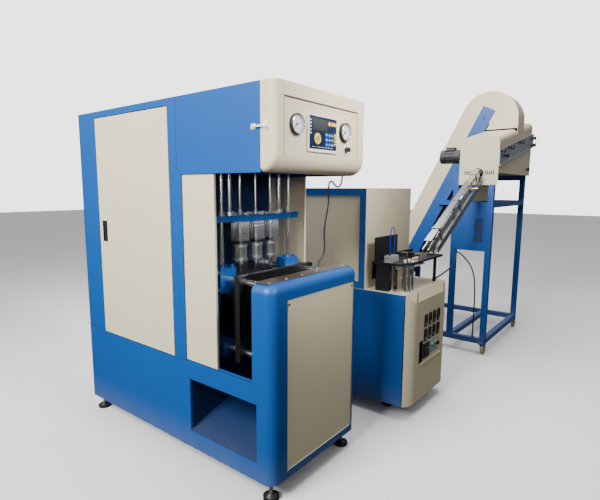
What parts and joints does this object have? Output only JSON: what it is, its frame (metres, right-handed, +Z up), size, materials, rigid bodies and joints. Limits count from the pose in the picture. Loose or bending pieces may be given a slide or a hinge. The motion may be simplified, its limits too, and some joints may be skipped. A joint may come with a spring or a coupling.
{
  "type": "blow moulding machine",
  "caption": "PET bottle blow moulding line: enclosed blowing machine with mould bay, preform heater with loading table, and castered preform feeder with inclined elevator.",
  "frame": {"origin": "centre of the sole of the blowing machine's front left foot, on the floor", "axes": "+X runs along the line from the blowing machine to the feeder, +Y to the back, +Z up"},
  "size_m": [3.97, 1.851, 2.4299],
  "materials": {
    "blue_paint": "semi-gloss powder coat",
    "beige_paint": "satin powder coat",
    "black_plastic": "matte",
    "black_steel": "blackened",
    "bright_steel": "polished",
    "stainless": "brushed",
    "aluminium": "anodised",
    "tool_steel": "ground",
    "white_plastic": "moulded",
    "green_plastic": "moulded",
    "wheel_tyre": "cast polyurethane",
    "belt_rubber": "matt",
    "cable_rubber": "matt",
    "tube_blue": "soft tube",
    "lamp_glass": "quartz lamps on white holders"
  },
  "bodies": {
    "line": {"cabinet_frame": "blue_paint", "side_skins": "blue_paint", "back_and_roof": "blue_paint", "head_cover": "beige_paint", "head_instruments": "black_plastic", "bench_cover": "blue_paint", "bench_panel": "beige_paint", "bench_top": "black_steel", "outlet_tray": "blue_paint", "guide_bars": "bright_steel", "tie_blocks": "blue_paint", "clamp_unit": "black_steel", "electrical_plate": "stainless", "heater_base": "blue_paint", "tunnel_frame": "blue_paint", "tunnel_panels": "beige_paint", "heating_lamps": "lamp_glass", "loader_frame": "black_steel", "preform_spindles": "white_plastic", "feeder_frame": "blue_paint", "unscrambler": "beige_paint", "unscrambler_cover": "beige_paint", "drive_motor": "black_steel", "elevator_housing": "beige_paint", "elevator_channel": "blue_paint", "elevator_belt": "belt_rubber", "control_boxes": "blue_paint", "feed_chute": "stainless", "levelling_feet": "black_plastic", "head_cable": "cable_rubber", "air_tube": "tube_blue", "power_cable": "cable_rubber"},
    "side_door_leaf": {"side_door": "beige_paint"},
    "left_guard_slide": {"left_guard": "beige_paint"},
    "right_guard_slide": {"right_guard": "beige_paint"},
    "left_gauge_needle": {"left_needle": "black_steel"},
    "right_gauge_needle": {"right_needle": "black_steel"},
    "key": {"switch_key": "bright_steel"},
    "blow_carriage": {"crosshead": "blue_paint", "blow_heads": "aluminium"},
    "stretch_carriage": {"stretch_rods": "bright_steel"},
    "front_mould_half": {"front_mould": "tool_steel"},
    "rear_mould_half": {"rear_mould": "tool_steel"},
    "heater_door_leaf": {"heater_door": "beige_paint", "heat_controllers": "black_plastic"},
    "start_cap": {"start_button": "green_plastic"},
    "selector": {"selector_knob": "black_plastic"},
    "pusher": {"loader_pusher": "aluminium"},
    "left_caster": {"front_left_fork": "stainless"},
    "left_caster_wheel": {"front_left_wheel": "wheel_tyre"},
    "right_caster": {"front_right_fork": "stainless"},
    "right_caster_wheel": {"front_right_wheel": "wheel_tyre"},
    "rear_left_wheel": {"back_left_wheel": "wheel_tyre"},
    "rear_right_wheel": {"back_right_wheel": "wheel_tyre"},
    "roller_a": {"front_roller": "stainless"},
    "roller_b": {"back_roller": "stainless"},
    "upper_drum": {"head_drum": "stainless"},
    "lower_drum": {"foot_drum": "stainless"}
  },
  "joints": [
    {"name": "side_door_swing", "type": "hinge", "parent": "line", "child": "side_door_leaf", "pos_m": [-0.05, 0.656, 1.2], "axis": [0, 0, 1], "range_deg": [0, 95]},
    {"name": "left_guard_travel", "type": "slide", "parent": "line", "child": "left_guard_slide", "axis": [0, -1, 0], "range_m": [0, 0.245]},
    {"name": "right_guard_travel", "type": "slide", "parent": "line", "child": "right_guard_slide", "axis": [0, -1, 0], "range_m": [0, 0.245]},
    {"name": "left_gauge_turn", "type": "hinge", "parent": "line", "child": "left_gauge_needle", "pos_m": [0.081, -0.086, 1.778], "axis": [0, 1, 0], "range_deg": [0, 270]},
    {"name": "right_gauge_turn", "type": "hinge", "parent": "line", "child": "right_gauge_needle", "pos_m": [0.473, -0.086, 1.778], "axis": [0, 1, 0], "range_deg": [0, 270]},
    {"name": "key_turn", "type": "hinge", "parent": "line", "child": "key", "pos_m": [0.492, -0.08, 1.693], "axis": [0, 1, 0], "range_deg": [0, 90]},
    {"name": "blow_head_lift", "type": "slide", "parent": "line", "child": "blow_carriage", "axis": [0, 0, -1], "range_m": [0, 0.05]},
    {"name": "stretch_stroke", "type": "slide", "parent": "blow_carriage", "child": "stretch_carriage", "axis": [0, 0, -1], "range_m": [0, 0.2]},
    {"name": "front_mould_close", "type": "slide", "parent": "line", "child": "front_mould_half", "axis": [0, 1, 0], "range_m": [0, 0.0597]},
    {"name": "rear_mould_close", "type": "slide", "parent": "line", "child": "rear_mould_half", "axis": [0, -1, 0], "range_m": [0, 0.0597]},
    {"name": "heater_door_swing", "type": "hinge", "parent": "line", "child": "heater_door_leaf", "pos_m": [1.74, -0.16, 0.5], "axis": [0, 0, 1], "range_deg": [0, 110]},
    {"name": "start_press", "type": "slide", "parent": "heater_door_leaf", "child": "start_cap", "axis": [0, 1, 0], "range_m": [0, 0.003], "stiffness_N_per_m": 400},
    {"name": "selector_turn", "type": "hinge", "parent": "heater_door_leaf", "child": "selector", "pos_m": [1.535, -0.2, 0.43], "axis": [0, 1, 0], "range_deg": [0, 90]},
    {"name": "pusher_travel", "type": "slide", "parent": "line", "child": "pusher", "axis": [-1, 0, 0], "range_m": [0, 0.03]},
    {"name": "left_caster_swivel", "type": "hinge", "parent": "line", "child": "left_caster", "pos_m": [2.704, -0.191, 0.09], "axis": [0, 0, 1], "continuous": true},
    {"name": "left_caster_roll", "type": "hinge", "parent": "left_caster", "child": "left_caster_wheel", "pos_m": [2.73, -0.191, 0.042], "axis": [0, 1, 0], "continuous": true},
    {"name": "right_caster_swivel", "type": "hinge", "parent": "line", "child": "right_caster", "pos_m": [3.794, -0.191, 0.09], "axis": [0, 0, 1], "continuous": true},
    {"name": "right_caster_roll", "type": "hinge", "parent": "right_caster", "child": "right_caster_wheel", "pos_m": [3.82, -0.191, 0.042], "axis": [0, 1, 0], "continuous": true},
    {"name": "rear_left_roll", "type": "hinge", "parent": "line", "child": "rear_left_wheel", "pos_m": [2.73, 0.836, 0.042], "axis": [0, 1, 0], "continuous": true},
    {"name": "rear_right_roll", "type": "hinge", "parent": "line", "child": "rear_right_wheel", "pos_m": [3.82, 0.836, 0.042], "axis": [0, 1, 0], "continuous": true},
    {"name": "roller_a_spin", "type": "hinge", "parent": "line", "child": "roller_a", "pos_m": [2.68, -0.124, 1.722], "axis": [0.9806, 0, 0.1961], "continuous": true},
    {"name": "roller_b_spin", "type": "hinge", "parent": "line", "child": "roller_b", "pos_m": [2.68, -0.03, 1.722], "axis": [0.9806, 0, 0.1961], "continuous": true},
    {"name": "upper_drum_spin", "type": "hinge", "parent": "line", "child": "upper_drum", "pos_m": [3.36, 0.06999, 2.18412], "axis": [1, 0, 0], "continuous": true},
    {"name": "lower_drum_spin", "type": "hinge", "parent": "line", "child": "lower_drum", "pos_m": [3.36, 0.8518, 0.62965], "axis": [1, 0, 0], "continuous": true}
  ],
  "couplings": [
    {"joint": "rear_mould_close", "follows": "front_mould_close", "ratio": 1},
    {"joint": "roller_b_spin", "follows": "roller_a_spin", "ratio": -1},
    {"joint": "lower_drum_spin", "follows": "upper_drum_spin", "ratio": 1}
  ]
}
